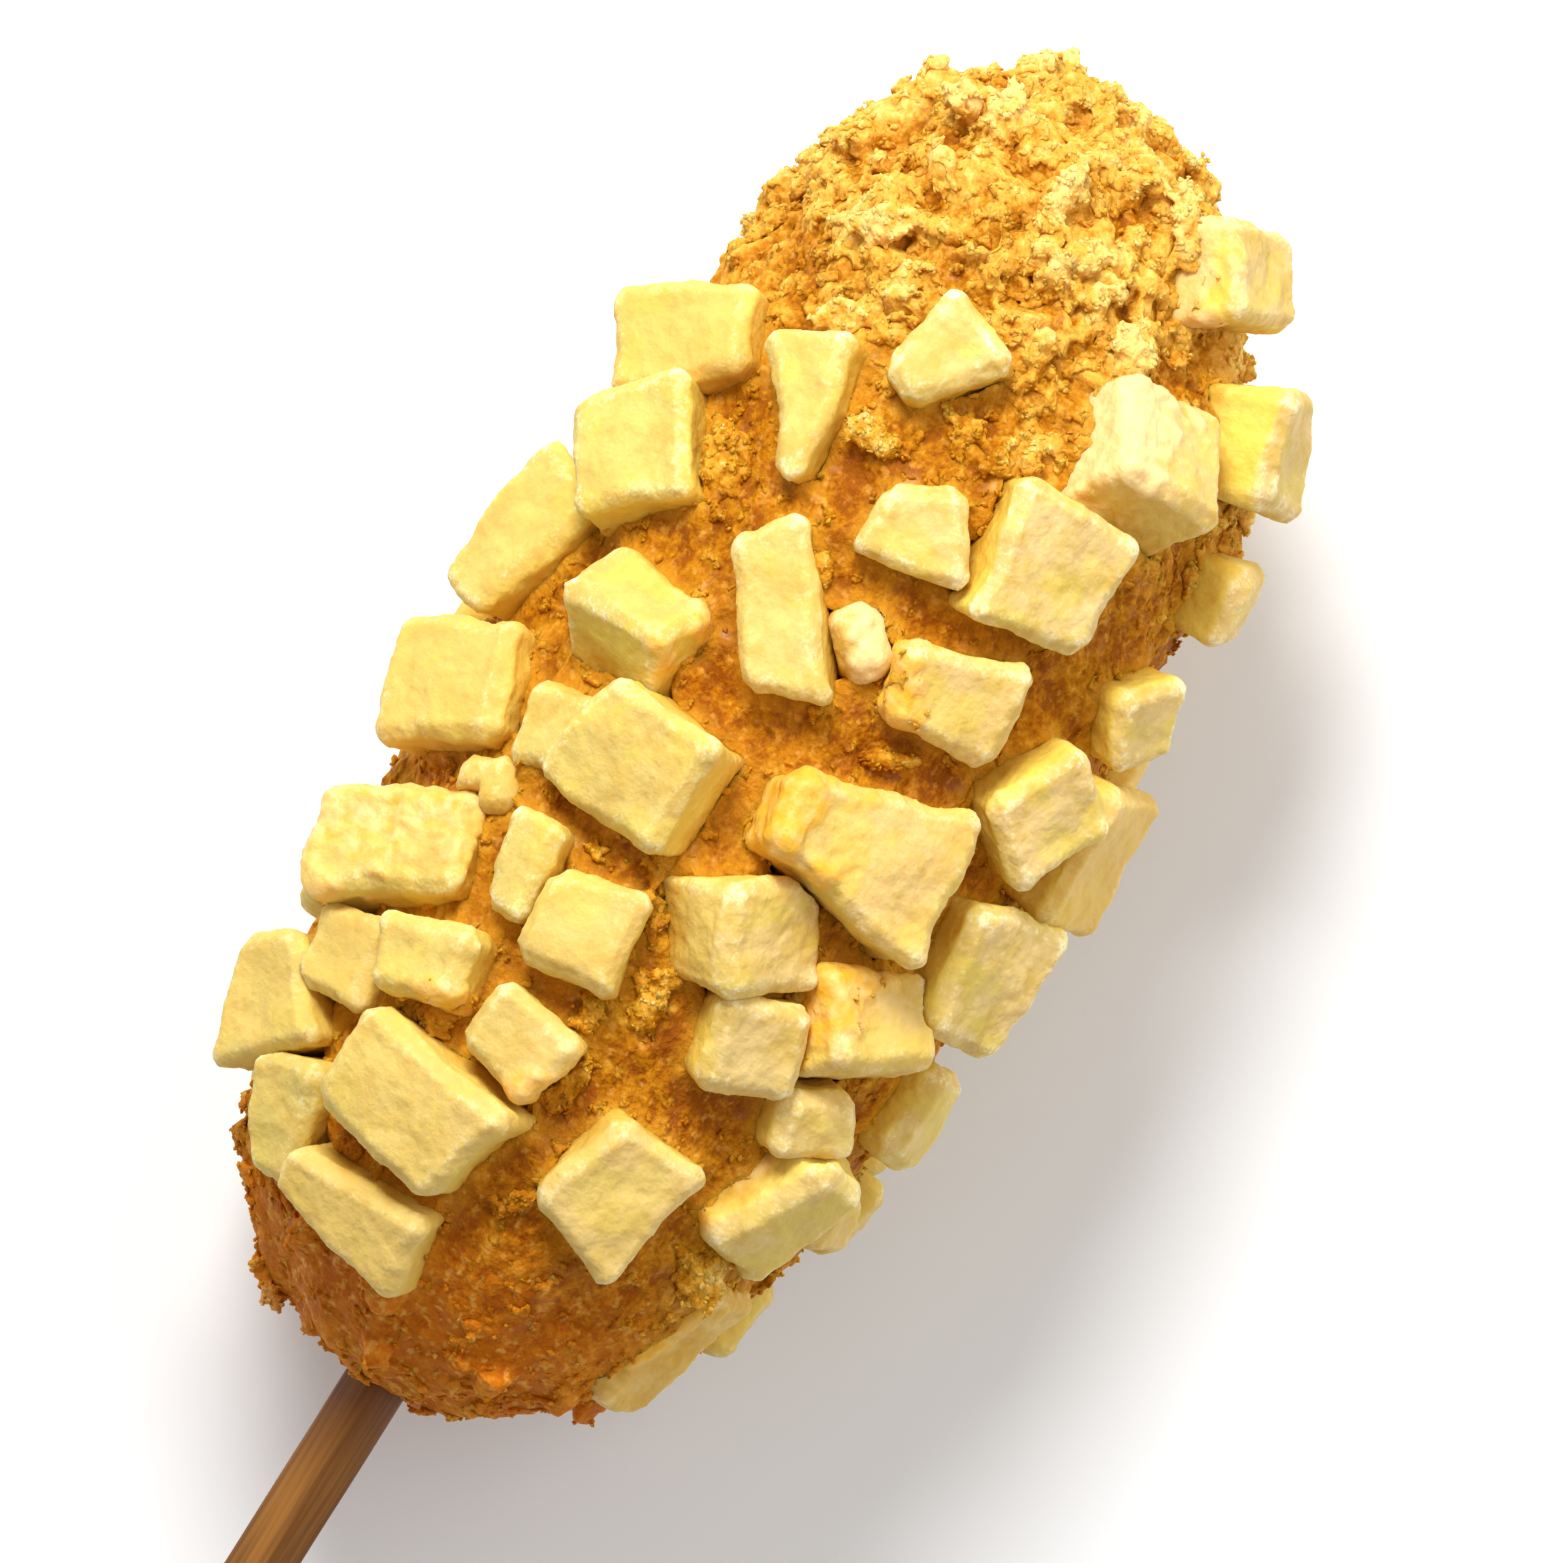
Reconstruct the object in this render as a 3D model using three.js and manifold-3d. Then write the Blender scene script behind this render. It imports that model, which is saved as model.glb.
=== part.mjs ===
// A potato corn dog lying on its side: a crumb-coated body on a square wooden
// stick, with diced potato pressed into the crust all the way round.
// Millimetres, +Z up. The body lies along X: stick towards -X, bare tip towards
// +X. Angles round the body start at its top and grow towards +Y.
import * as THREE from 'three';
import { ConvexGeometry } from 'three/addons/geometries/ConvexGeometry.js';
import { ImprovedNoise } from 'three/addons/math/ImprovedNoise.js';
import { mergeVertices } from 'three/addons/utils/BufferGeometryUtils.js';
import Module from 'manifold-3d';

const wasm = await Module();
wasm.setup();
const { Manifold, Mesh } = wasm;

// ---------------------------------------------------------------- dimensions
const GAP = 0.3;               // clear space between touching pieces

const BODY_BACK = -71.5;        // where the crust ends on the stick
const BODY_FRONT = 70.4;       // the tip
const BODY_RADIUS = 28.7;      // crust radius in the middle
const BACK_FULLNESS = 4;       // higher = blunter end
const FRONT_FULLNESS = 3.3;
const TIP_BEND = 2.6;          // the tip swings this far towards +Y
const TIP_BEND_START = 34;
const TIP_BEND_LENGTH = 22;
const AXIS_HEIGHT = 32.4;      // body axis above the floor it lies on

const CORE_RINGS = 37;         // facets along and round the crust
const CORE_SIDES = 40;
const LUMP_SIZE = 17;          // broad swellings of the batter
const LUMP_HEIGHT = 0.9;
const CRAG_SIZE = 7.5;         // crags of clustered crumbs
const CRAG_HEIGHT = 0.75;
const TIP_CRAG_HEIGHT = 2.1;

const STICK_SIDE = 5.1;        // square stick, one edge up
const STICK_CORNER = 1.1;
const STICK_LENGTH = 180;
const STICK_SHOWING = 86.5;
const STICK_CHAMFER = 0.5;

const POTATO_CHAMFER = 1.15;   // worn edges of the cooked dice
const POTATO_DRAFT = 0.84;     // inner face against the outer one
const POTATO_UNEVEN = 0.05;

const FLAKES = 46;             // crumb flakes big enough to see from a step away
const FLAKE_LENGTH = [4.6, 9];
const FLAKE_WIDTH = [3, 5.2];
const FLAKE_THICKNESS = [1.8, 3.2];
const FLAKE_SPACING = 6;

// Each potato piece: where the middle of its outer face sits (x, angle, out =
// height above the crust), how that face turns away from the crust below it
// (lean round the body, pitch towards the tip), the spin of its long side from
// the body's length, its size, and how its outline departs from a rectangle
// (narrow: the far end is narrower, skew: the +side is shorter).
const POTATOES = [
  // x, angle, out, lean, pitch, spin, long, wide, high, narrow, skew
  [60.8, -57, 5.5, 0, 0, 100, 13, 9.5, 9, 0, 0],
  [48.4, -72, 7, 0, 0, 8, 12, 11, 11, 0, 0],
  [44, -38, 5, 0, 30, 4, 12.5, 14, 12, 0, 0],
  [35, -80, 4.5, 0, 0, 10, 8, 9, 9, 0.1, 0],
  [40, 11, 4, 0, 0, -24, 11, 7.8, 8, -0.36, 0],
  [29.3, 28.5, 4.2, 0, 0, 30, 14.5, 6.3, 8, -0.66, 0],
  [17.7, 52, 6, -16, 0, 39, 12.8, 13, 11, 0, 0],
  [29.2, 59, 5.8, -24, 0, -57, 14.8, 10.4, 9, 0, 0],
  [5.3, 69, 5.7, -22, 0, -12, 16.4, 10, 8, -0.25, 0],
  [6.4, 35, 4.5, 0, 40, 88, 13, 8.5, 10, 0, 0],
  [11.7, 11, 5, 0, 0, 37, 16.8, 8, 9, 0.12, 0.11],
  [25.3, -1, 4.5, 0, 0, 18, 8.4, 9.6, 8, 0.26, 0.14],
  [28.6, -25.5, 5.5, 0, 0, 5, 13.6, 14, 10, -0.04, -0.08],
  [13.5, -23, 4.5, 0, 0, 12, 9.3, 13.2, 8, -0.07, 0.16],
  [21, -62, 5, 15, 0, 35, 8.5, 8.5, 8, 0, 0],
  [-10.2, 61, 6, -15, 0, 24, 12.5, 15, 11, 0, 0],
  [-7.7, 18.5, 6, 8, -10, -7, 12.6, 14.2, 10, 0.04, 0],
  [-9, 37, 3, 0, 0, 12, 8.5, 8.5, 8, -0.15, 0],
  [-3, -22, 6.5, 0, 12, 95, 20, 12.5, 10, 0.4, 0],
  [9, -49, 6, 15, 0, -30, 11, 10.5, 10, 0, 0.05],
  [7.7, -71, 6, 8, 0, 3, 15, 11, 9, 0, 0],
  [-25.6, 51.5, 5.5, -18, 10, 117, 17.5, 11, 10, 0, 0],
  [-21.3, 26.5, 4, 0, 0, 11, 10.5, 5.6, 7, -0.2, 0],
  [-23.6, 11, 5, 0, 0, 10, 10.3, 10.3, 9, 0, 0.1],
  [-14.5, -17, 5, -24, 12, 30, 11, 12, 11, 0, 0],
  [-7.5, -59, 6.3, 12, 0, 5, 13.5, 12, 10, -0.1, 0.1],
  [-43.7, 63, 5.9, -20, 0, 32, 12.2, 10, 9, 0.3, 0],
  [-33.6, 33, 5.5, 0, 0, 105, 10.5, 7.6, 9, 0, 0.1],
  [-37.5, 51, 4.2, -10, 0, 8, 9, 9.5, 8, 0.1, 0],
  [-35.5, 10, 5, 0, 0, -12, 8.2, 9.2, 8, -0.1, 0],
  [-24.4, -25, 5, 0, 0, 20, 9.2, 9.8, 9, 0, 0],
  [-15.5, -43, 5, 6, 32, 112, 13, 9.5, 12, 0, 0],
  [-27.7, -44, 4.5, 5, 0, 115, 8.5, 6.5, 8, 0, 0],
  [-22, -74, 4.5, 0, 0, 0, 10.5, 8, 8, 0, 0],
  [-45.4, 21.5, 6, 0, 0, 80, 17.8, 11.8, 10, 0.1, 0.12],
  [-53, 51, 4, -8, 0, 10, 12.5, 8, 8, -0.2, 0],
  [-57, 26, 4, 0, 0, 82, 16.5, 7.4, 8, 0.25, 0],
  [-42.8, -19, 4.5, 0, 0, -10, 13, 11, 9, 0, 0.1],
  [-36.5, -51, 5, 5, -15, -10, 14.5, 9, 10, 0.1, 0],
  [-34.5, -70, 4, 0, 0, 20, 6.5, 7, 8, 0, 0],
  [-53, -68, 0.8, 5, 0, 3, 17, 9, 7, 0, 0],
  [-16.8, 44, 3, -5, 0, 117, 7, 5.5, 7, 0, 0],
  [13.5, -3, 2.4, 0, 0, 45, 7, 5, 6, 0, 0],
];

// Underneath, three dice stick together at a time, in staggered rows.
const GROUP_ROWS = 5;
const GROUP_ANGLES = [122, 180, 238];
const GROUP_FIRST_X = -46;
const GROUP_STEP = 22.5;
const GROUP_ANGLE_RANGE = [109, 251];
const GROUP_END_TUCK = 15;     // the end rows sit further under
const GROUP_DICE = [8.5, 12.5];

// ------------------------------------------------------------------- helpers
function seeded(seed) {                    // repeatable random numbers, 0 to 1
  let state = seed;
  return () => {
    state = (state + 0x6d2b79f5) | 0;
    let t = Math.imul(state ^ (state >>> 15), 1 | state);
    t = (t + Math.imul(t ^ (t >>> 7), 61 | t)) ^ t;
    return ((t ^ (t >>> 14)) >>> 0) / 4294967296;
  };
}
const between = (random, low, high) => low + (high - low) * random();
const rad = THREE.MathUtils.degToRad;
const smooth = (x, low, high) => THREE.MathUtils.smoothstep(x, low, high);

function solidOf(geometry) {               // three.js geometry as a closed solid
  const bare = new THREE.BufferGeometry();
  bare.setAttribute('position', geometry.getAttribute('position').clone());
  if (geometry.index) bare.setIndex(geometry.index.clone());
  const merged = mergeVertices(bare, 1e-4);
  const ids = merged.index.array;
  const corners = [];
  for (let i = 0; i < ids.length; i += 3) {
    const [a, b, c] = [ids[i], ids[i + 1], ids[i + 2]];
    if (a !== b && b !== c && c !== a) corners.push(a, b, c);
  }
  return new Manifold(new Mesh({
    numProp: 3,
    vertProperties: Float32Array.from(merged.getAttribute('position').array),
    triVerts: Uint32Array.from(corners),
  }));
}

function geometryOf(solid) {               // and back, for the named mesh
  const mesh = solid.getMesh();
  const geometry = new THREE.BufferGeometry();
  geometry.setAttribute('position', new THREE.BufferAttribute(mesh.vertProperties, 3));
  geometry.setIndex(new THREE.BufferAttribute(mesh.triVerts, 1));
  geometry.computeVertexNormals();
  return geometry;
}

function largest(solid) {                  // drops scraps left by a cut
  const parts = solid.decompose();
  return parts.sort((a, b) => b.volume() - a.volume())[0];
}

function boxesMeet(a, b) {
  const p = a.boundingBox(), q = b.boundingBox();
  return [0, 1, 2].every((k) => p.min[k] < q.max[k] && q.min[k] < p.max[k]);
}

// ------------------------------------------------------------ the body's form
const noise = new ImprovedNoise();
const middle = (BODY_BACK + BODY_FRONT) / 2;
const half = (BODY_FRONT - BODY_BACK) / 2;

function bodyRadius(x) {
  const t = Math.min(1, Math.abs(x - middle) / half);
  const fullness = x < middle ? BACK_FULLNESS : FRONT_FULLNESS;
  return BODY_RADIUS * Math.sqrt(1 - t ** fullness);
}

function bodyShift(x) {                    // sideways swing of the tip
  return TIP_BEND * smooth(x, TIP_BEND_START, TIP_BEND_START + TIP_BEND_LENGTH);
}

function surfacePitch(x) {                 // how far the skin faces the tip, degrees
  const slope = (bodyRadius(x + 0.2) - bodyRadius(x - 0.2)) / 0.4;
  return -THREE.MathUtils.radToDeg(Math.atan(slope));
}

function facing(angle, pitch) {            // frame: along the body, round it, outward
  const a = rad(angle), p = rad(pitch);
  const out = new THREE.Vector3(Math.sin(p), Math.cos(p) * Math.sin(a), Math.cos(p) * Math.cos(a));
  const round = new THREE.Vector3(0, Math.cos(a), -Math.sin(a));
  const along = new THREE.Vector3().crossVectors(round, out);
  return new THREE.Matrix4().makeBasis(along, round, out);
}

function onBody(x, angle, height) {        // a point above the smooth skin
  const out = new THREE.Vector3(0, 0, height).applyMatrix4(facing(angle, surfacePitch(x)));
  const r = bodyRadius(x), a = rad(angle);
  return out.add(new THREE.Vector3(x, bodyShift(x) + r * Math.sin(a), AXIS_HEIGHT + r * Math.cos(a)));
}

// Named crags and hollows of the outline: x, angle, reach, height
const CRAGS = [
  [39, 86, 7, 1.8],
  [46, 80, 5, -1],
  [53, 82, 5, 1.2],
  [62, 80, 5, 3],
  [66, 62, 4, -1.8],
  [69, 0, 6, 1],
  [64, -60, 7, -1.5],
  [58, 65, 5, -1.2],
  [-20, 82, 6, 2.6],
  [-58, 84, 5, 1.6],
  [-66.5, 86, 3.2, 2.6],
  [-70, 80, 3.5, -2],
  [-64, 55, 5, -1],
  [-67, -86, 5, -1.8],
  [-71.3, -70, 3.5, 1.2],
];

function relief(x, angle) {                // height of the crust's lumps and crags
  const r = BODY_RADIUS, a = rad(angle);
  const [y, z] = [r * Math.sin(a), r * Math.cos(a)];
  const at = (size, shift) => noise.noise(x / size + shift, y / size + shift, z / size - shift);
  const tip = smooth(x, 36, 58);
  const crag = CRAG_HEIGHT + (TIP_CRAG_HEIGHT - CRAG_HEIGHT) * tip;
  let height = LUMP_HEIGHT * at(LUMP_SIZE, 3.7) + crag * 1.3 * at(CRAG_SIZE, 11.2);
  for (const [cx, ca, reach, rise] of CRAGS) {
    const round = rad(((angle - ca + 540) % 360) - 180) * Math.max(6, bodyRadius(x));
    height += rise * Math.exp(-((x - cx) ** 2 + round ** 2) / reach ** 2);
  }
  return height;
}

function core() {                          // the crust before pockets and flakes
  const steps = 2000, profile = [];
  let length = 0, last = null;
  const walk = [];
  for (let i = 0; i <= steps; i++) {
    const x = middle - half * Math.cos(Math.PI * i / steps);
    const p = new THREE.Vector2(i === 0 || i === steps ? 0 : bodyRadius(x), x);
    if (last) length += p.distanceTo(last);
    walk.push([p, length]);
    last = p;
  }
  for (let ring = 0, i = 0; ring <= CORE_RINGS; ring++) {
    while (i < steps && walk[i][1] < length * ring / CORE_RINGS) i++;
    profile.push(walk[i][0]);
  }
  const lathe = new THREE.LatheGeometry(profile, CORE_SIDES);
  const at = lathe.getAttribute('position');
  for (let i = 0; i < at.count; i++) {
    const x = at.getY(i);
    const r = Math.hypot(at.getX(i), at.getZ(i));
    const angle = r < 1e-6 ? 0 : THREE.MathUtils.radToDeg(Math.atan2(at.getX(i), at.getZ(i)));
    const p = r < 1e-6 ? new THREE.Vector3(x, bodyShift(x), AXIS_HEIGHT)
      : onBody(x, angle, relief(x, angle) * Math.min(1, r / 8));
    at.setXYZ(i, p.x, p.y, p.z);
  }
  const ids = lathe.index.array;           // laying it along X mirrored the facets
  for (let i = 0; i < ids.length; i += 3) [ids[i], ids[i + 1]] = [ids[i + 1], ids[i]];
  return solidOf(lathe);
}

// ------------------------------------------------------------------- the stick
function stick(grow) {
  const side = STICK_SIDE / 2 + grow, corner = STICK_CORNER + grow;
  const outline = new THREE.Shape();
  const inner = side - corner;
  outline.moveTo(side, -inner);
  outline.lineTo(side, inner);
  outline.absarc(inner, inner, corner, 0, Math.PI / 2);
  outline.lineTo(-inner, side);
  outline.absarc(-inner, inner, corner, Math.PI / 2, Math.PI);
  outline.lineTo(-side, -inner);
  outline.absarc(-inner, -inner, corner, Math.PI, 1.5 * Math.PI);
  outline.lineTo(inner, -side);
  outline.absarc(inner, -inner, corner, 1.5 * Math.PI, 2 * Math.PI);
  const chamfer = grow ? 0 : STICK_CHAMFER;
  const bar = new THREE.ExtrudeGeometry(outline, {
    depth: STICK_LENGTH + 2 * grow - 2 * chamfer, steps: 1, curveSegments: 2,
    bevelEnabled: chamfer > 0, bevelSize: chamfer, bevelThickness: chamfer,
    bevelSegments: 1, bevelOffset: -chamfer,
  });
  bar.translate(0, 0, chamfer - grow);
  bar.rotateZ(Math.PI / 4);
  bar.rotateY(Math.PI / 2);
  bar.translate(BODY_BACK - STICK_SHOWING, 0, AXIS_HEIGHT);
  return solidOf(bar);
}

// ------------------------------------------------------------------ the potato
function potato(piece, seed, grow = 0) {    // grow > 0 makes its pocket, with sharp edges
  const [x, angle, out, lean, pitch, spin, long, wide, high, narrow, skew] = piece;
  const random = seeded(seed);
  const uneven = () => 1 + between(random, -POTATO_UNEVEN, POTATO_UNEVEN);
  const corner = {};
  for (const u of [-1, 1]) {
    for (const v of [-1, 1]) {
      for (const w of [-1, 1]) {
        const taper = w > 0 ? 1 : POTATO_DRAFT;
        corner[[u, v, w]] = new THREE.Vector3(
          u * (long / 2 * (1 - v * skew) * taper * uneven() + grow),
          v * (wide / 2 * (1 - u * narrow) * taper * uneven() + grow),
          w * (high / 2 * uneven() + grow),
        );
      }
    }
  }
  const points = [];
  for (const [u, v, w] of Object.keys(corner).map((key) => key.split(',').map(Number))) {
    const here = corner[[u, v, w]];
    if (grow || w < 0) { points.push(here); continue; }  // sunk corners stay sharp
    const cut = POTATO_CHAMFER * between(random, 0.7, 1.3);
    const along = [corner[[-u, v, w]], corner[[u, -v, w]], corner[[u, v, -w]]]
      .map((other) => other.clone().sub(here).normalize().multiplyScalar(cut));
    for (const skip of [0, 1, 2]) {        // one worn corner becomes three
      const kept = along.filter((_, i) => i !== skip);
      points.push(here.clone().add(kept[0]).add(kept[1]));
    }
  }
  const block = new ConvexGeometry(points);
  block.translate(0, 0, -high / 2);
  block.rotateZ(rad(spin));
  block.applyMatrix4(facing(angle + lean, surfacePitch(x) + pitch));
  const place = onBody(x, angle, out);
  block.translate(place.x, place.y, place.z);
  return solidOf(block);
}

function underneath() {                    // groups of three dice stuck together
  const random = seeded(101);
  const size = () => between(random, ...GROUP_DICE);
  const groups = [];
  for (let row = 0; row < GROUP_ROWS; row++) {
    const tuck = row % (GROUP_ROWS - 1) ? 0 : GROUP_END_TUCK;
    const [low, high] = GROUP_ANGLE_RANGE;
    GROUP_ANGLES.forEach((centre, column) => {
      const angle = centre + tuck * Math.sign(180 - centre);
      const x = GROUP_FIRST_X + GROUP_STEP * row + (column % 2 ? 6 : -3) + between(random, -1.5, 1.5);
      const heading = between(random, 0, 360), spin = between(random, 0, 90);
      const group = [[x, angle, 4.8, 0, 0, spin, size(), size(), 10, 0.1, 0]];
      for (const side of [0, between(random, 120, 200)]) {
        const way = rad(heading + side), step = between(random, 8, 9.5);
        const round = THREE.MathUtils.radToDeg(step * Math.sin(way) / BODY_RADIUS);
        group.push([x + step * Math.cos(way),
          THREE.MathUtils.clamp(angle + round, low + tuck, high - tuck), between(random, 3.4, 4.6),
          between(random, -8, 8), between(random, -8, 8), spin + between(random, 20, 70),
          size(), size() * 0.85, 9, between(random, -0.15, 0.15), 0.1]);
      }
      groups.push(group);
    });
  }
  return groups;
}

// ------------------------------------------------------------------ the flakes
function flake(x, angle, size, random) {
  const [long, wide, thick] = size;
  const points = [];
  for (let i = 0; i < 8; i++) {            // a ragged rim, smaller above and below
    const turn = (i * 3 + between(random, -0.35, 0.35)) / 8 * 2 * Math.PI;
    const level = [0, 1, 0, -1][i % 4];
    const reach = level ? between(random, 0.45, 0.75) : 1;
    points.push(new THREE.Vector3(reach * long / 2 * Math.cos(turn),
      reach * wide / 2 * Math.sin(turn), level * thick / 2));
  }
  const chunk = new ConvexGeometry(points);
  chunk.rotateX(rad(between(random, -28, 28)));
  chunk.rotateY(rad(between(random, -28, 28)));
  chunk.rotateZ(between(random, 0, 2 * Math.PI));
  chunk.applyMatrix4(facing(angle, surfacePitch(x)));
  const place = onBody(x, angle, relief(x, angle) + thick * 0.2);
  chunk.translate(place.x, place.y, place.z);
  return solidOf(chunk);
}

function clearOfPotato(x, angle) {         // not on, or right beside, a potato piece
  const here = onBody(x, angle, 0);
  return blocks.every((piece) => {
    const [px, pangle, out, lean, pitch, spin, long, wide] = piece;
    const frame = facing(pangle + lean, surfacePitch(px) + pitch)
      .multiply(new THREE.Matrix4().makeRotationZ(rad(spin)))
      .setPosition(onBody(px, pangle, 0));
    const local = here.clone().applyMatrix4(frame.invert());
    return Math.abs(local.x) > long / 2 + 1.2 || Math.abs(local.y) > wide / 2 + 1.2
      || Math.abs(local.z) > 12;
  });
}

function flakes() {
  const random = seeded(7);
  const found = [], places = [];
  for (let tries = 0; found.length < FLAKES && tries < 6000; tries++) {
    const zone = random();                 // most on the bare tip, some at the stick
    const x = zone < 0.6 ? between(random, 42, 69) : zone < 0.75 ? between(random, -70, -60)
      : between(random, -60, 42);
    const angle = between(random, -180, 180);
    const place = onBody(x, angle, 0);
    if (!clearOfPotato(x, angle) || places.some((p) => p.distanceTo(place) < FLAKE_SPACING)) continue;
    places.push(place);
    const size = [between(random, ...FLAKE_LENGTH), between(random, ...FLAKE_WIDTH),
      between(random, ...FLAKE_THICKNESS)];
    found.push(flake(x, angle, size, random));
  }
  return found;
}

// ------------------------------------------------------------------- assembly
const groups = underneath();
const blocks = [...POTATOES, ...groups.flat()];

const floorGeometry = new THREE.BoxGeometry(500, 300, 100);
floorGeometry.translate(0, 0, -50);
const floor = solidOf(floorGeometry);

const pieces = [];                         // { name, solid, pocket }
POTATOES.forEach((piece, i) => {
  const name = `potato_${String(i + 1).padStart(2, '0')}`;
  pieces.push({ name, solid: potato(piece, 100 + i, 0), pocket: potato(piece, 100 + i, GAP) });
});
groups.forEach((group, i) => {
  const name = `potato_group_${String(i + 1).padStart(2, '0')}`;
  const join = (grow) => Manifold.union(group.map((piece, k) => potato(piece, 300 + 3 * i + k, grow)));
  pieces.push({ name, solid: join(0), pocket: join(GAP) });
});

// Where two pieces meet, the later one gives way to the earlier one.
pieces.forEach((piece, i) => {
  const before = pieces.slice(0, i).filter((other) => boxesMeet(other.pocket, piece.solid));
  if (before.length) {
    piece.solid = largest(Manifold.difference([piece.solid, ...before.map((other) => other.pocket)]));
  }
  piece.solid = largest(piece.solid.subtract(floor));
});

const crust = largest(Manifold.difference([
  Manifold.union([core(), ...flakes()]), stick(GAP), floor, ...pieces.map((piece) => piece.pocket),
]));

// ---------------------------------------------------------------- scene graph
const MATERIALS = {
  crust: new THREE.MeshStandardMaterial({ name: 'crust', color: 0xd08a2c, roughness: 0.75 }),
  potato: new THREE.MeshStandardMaterial({ name: 'potato', color: 0xf0d98c, roughness: 0.6 }),
  wood: new THREE.MeshStandardMaterial({ name: 'wood', color: 0xa87540, roughness: 0.8 }),
};

const group = new THREE.Group();
group.name = 'corn_dog';
function add(name, solid, material) {
  const mesh = new THREE.Mesh(geometryOf(solid), MATERIALS[material]);
  mesh.name = name;
  group.add(mesh);
}
add('stick', stick(0), 'wood');
add('crust', crust, 'crust');
for (const { name, solid } of pieces) add(name, solid, 'potato');

// The origin is the middle of the underside of the whole.
const box = new THREE.Box3().setFromObject(group);
const centre = box.getCenter(new THREE.Vector3());
group.children.forEach((mesh) => mesh.geometry.translate(-centre.x, -centre.y, -box.min.z));

export default group;
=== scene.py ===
# %% [markdown]
# # Dressing a potato corn dog
#
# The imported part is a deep-fried snack on a square wooden stick. A crust of
# batter and breadcrumbs holds diced potato all the way round, and the tip is
# bare crumb. The CAD solids give every piece its place and its main form. This
# lesson gives them the skin of the real food: crumbly, mealy, oily and uneven.
#
# The first cell loads the solids. They are the frame, so nothing moves them.

# %% Load the frame
import math
import random

import bmesh
import bpy
import numpy as np
from mathutils import Matrix, Vector, noise
from mathutils.bvhtree import BVHTree


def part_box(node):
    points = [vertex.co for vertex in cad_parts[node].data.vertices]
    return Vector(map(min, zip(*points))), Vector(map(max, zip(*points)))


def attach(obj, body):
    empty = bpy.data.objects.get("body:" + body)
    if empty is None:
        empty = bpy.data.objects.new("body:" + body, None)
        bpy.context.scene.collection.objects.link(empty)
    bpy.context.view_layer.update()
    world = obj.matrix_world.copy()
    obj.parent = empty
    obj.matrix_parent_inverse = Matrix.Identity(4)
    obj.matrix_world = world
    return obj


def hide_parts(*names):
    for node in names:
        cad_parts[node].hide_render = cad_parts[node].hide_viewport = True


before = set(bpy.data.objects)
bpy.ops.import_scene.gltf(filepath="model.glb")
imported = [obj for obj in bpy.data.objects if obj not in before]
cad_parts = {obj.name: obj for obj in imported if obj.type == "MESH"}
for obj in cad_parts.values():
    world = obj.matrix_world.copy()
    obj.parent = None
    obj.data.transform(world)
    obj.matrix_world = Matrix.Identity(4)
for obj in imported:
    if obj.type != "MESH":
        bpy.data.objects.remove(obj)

noise.seed_set(4)        # unseeded, the vector noises would start from the clock

MM = 0.001
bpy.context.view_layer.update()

# %% [markdown]
# ## Where the body lies
#
# All the noise and the crumbs need one simple thing to refer to: the smooth
# form that the batter had before anything stuck to it. We could measure it
# from the solid, but the solid has pockets and crags. Its own rule is short,
# so we repeat the rule: a round body whose ends close like a worn barrel.
# Lengths in this script are millimetres measured from the middle of the body,
# and only the last step of each piece turns them into metres.

# %% The smooth form of the batter
stick_low, stick_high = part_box("stick")
crust_low, crust_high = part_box("crust")
AXIS_Y = (stick_low.y + stick_high.y) / 2 / MM
AXIS_Z = (stick_low.z + stick_high.z) / 2 / MM
BODY_BACK, BODY_FRONT, BODY_RADIUS = -71.5, 70.4, 28.7
MIDDLE_X = (stick_low.x / MM + 86.5) - BODY_BACK    # the body's own zero, in the frame
BACK_FULLNESS, FRONT_FULLNESS = 4, 3.3
TIP_BEND, TIP_BEND_START, TIP_BEND_LENGTH = 2.6, 34, 22


def smoothstep(value, low, high):
    t = min(1, max(0, (value - low) / (high - low)))
    return t * t * (3 - 2 * t)


def body_radius(x):
    middle, half = (BODY_BACK + BODY_FRONT) / 2, (BODY_FRONT - BODY_BACK) / 2
    t = min(1, abs(x - middle) / half)
    return BODY_RADIUS * math.sqrt(1 - t ** (BACK_FULLNESS if x < middle else FRONT_FULLNESS))


def body_centre(x):
    bend = TIP_BEND * smoothstep(x, TIP_BEND_START, TIP_BEND_START + TIP_BEND_LENGTH)
    return Vector((MIDDLE_X + x, AXIS_Y + bend, AXIS_Z))


print(f"body axis at y {AXIS_Y:.2f}, z {AXIS_Z:.2f}, its zero at x {MIDDLE_X:.2f} mm")

# %% [markdown]
# A profile spun round an axis is the quickest way to a body of revolution. The
# spun skin is never shown. It only answers one question, asked thousands of
# times: how far above the plain batter is this point? A BVH tree answers that
# quickly.

# %% Spin the skin and ask it for heights
RINGS, SIDES = 90, 72


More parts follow.
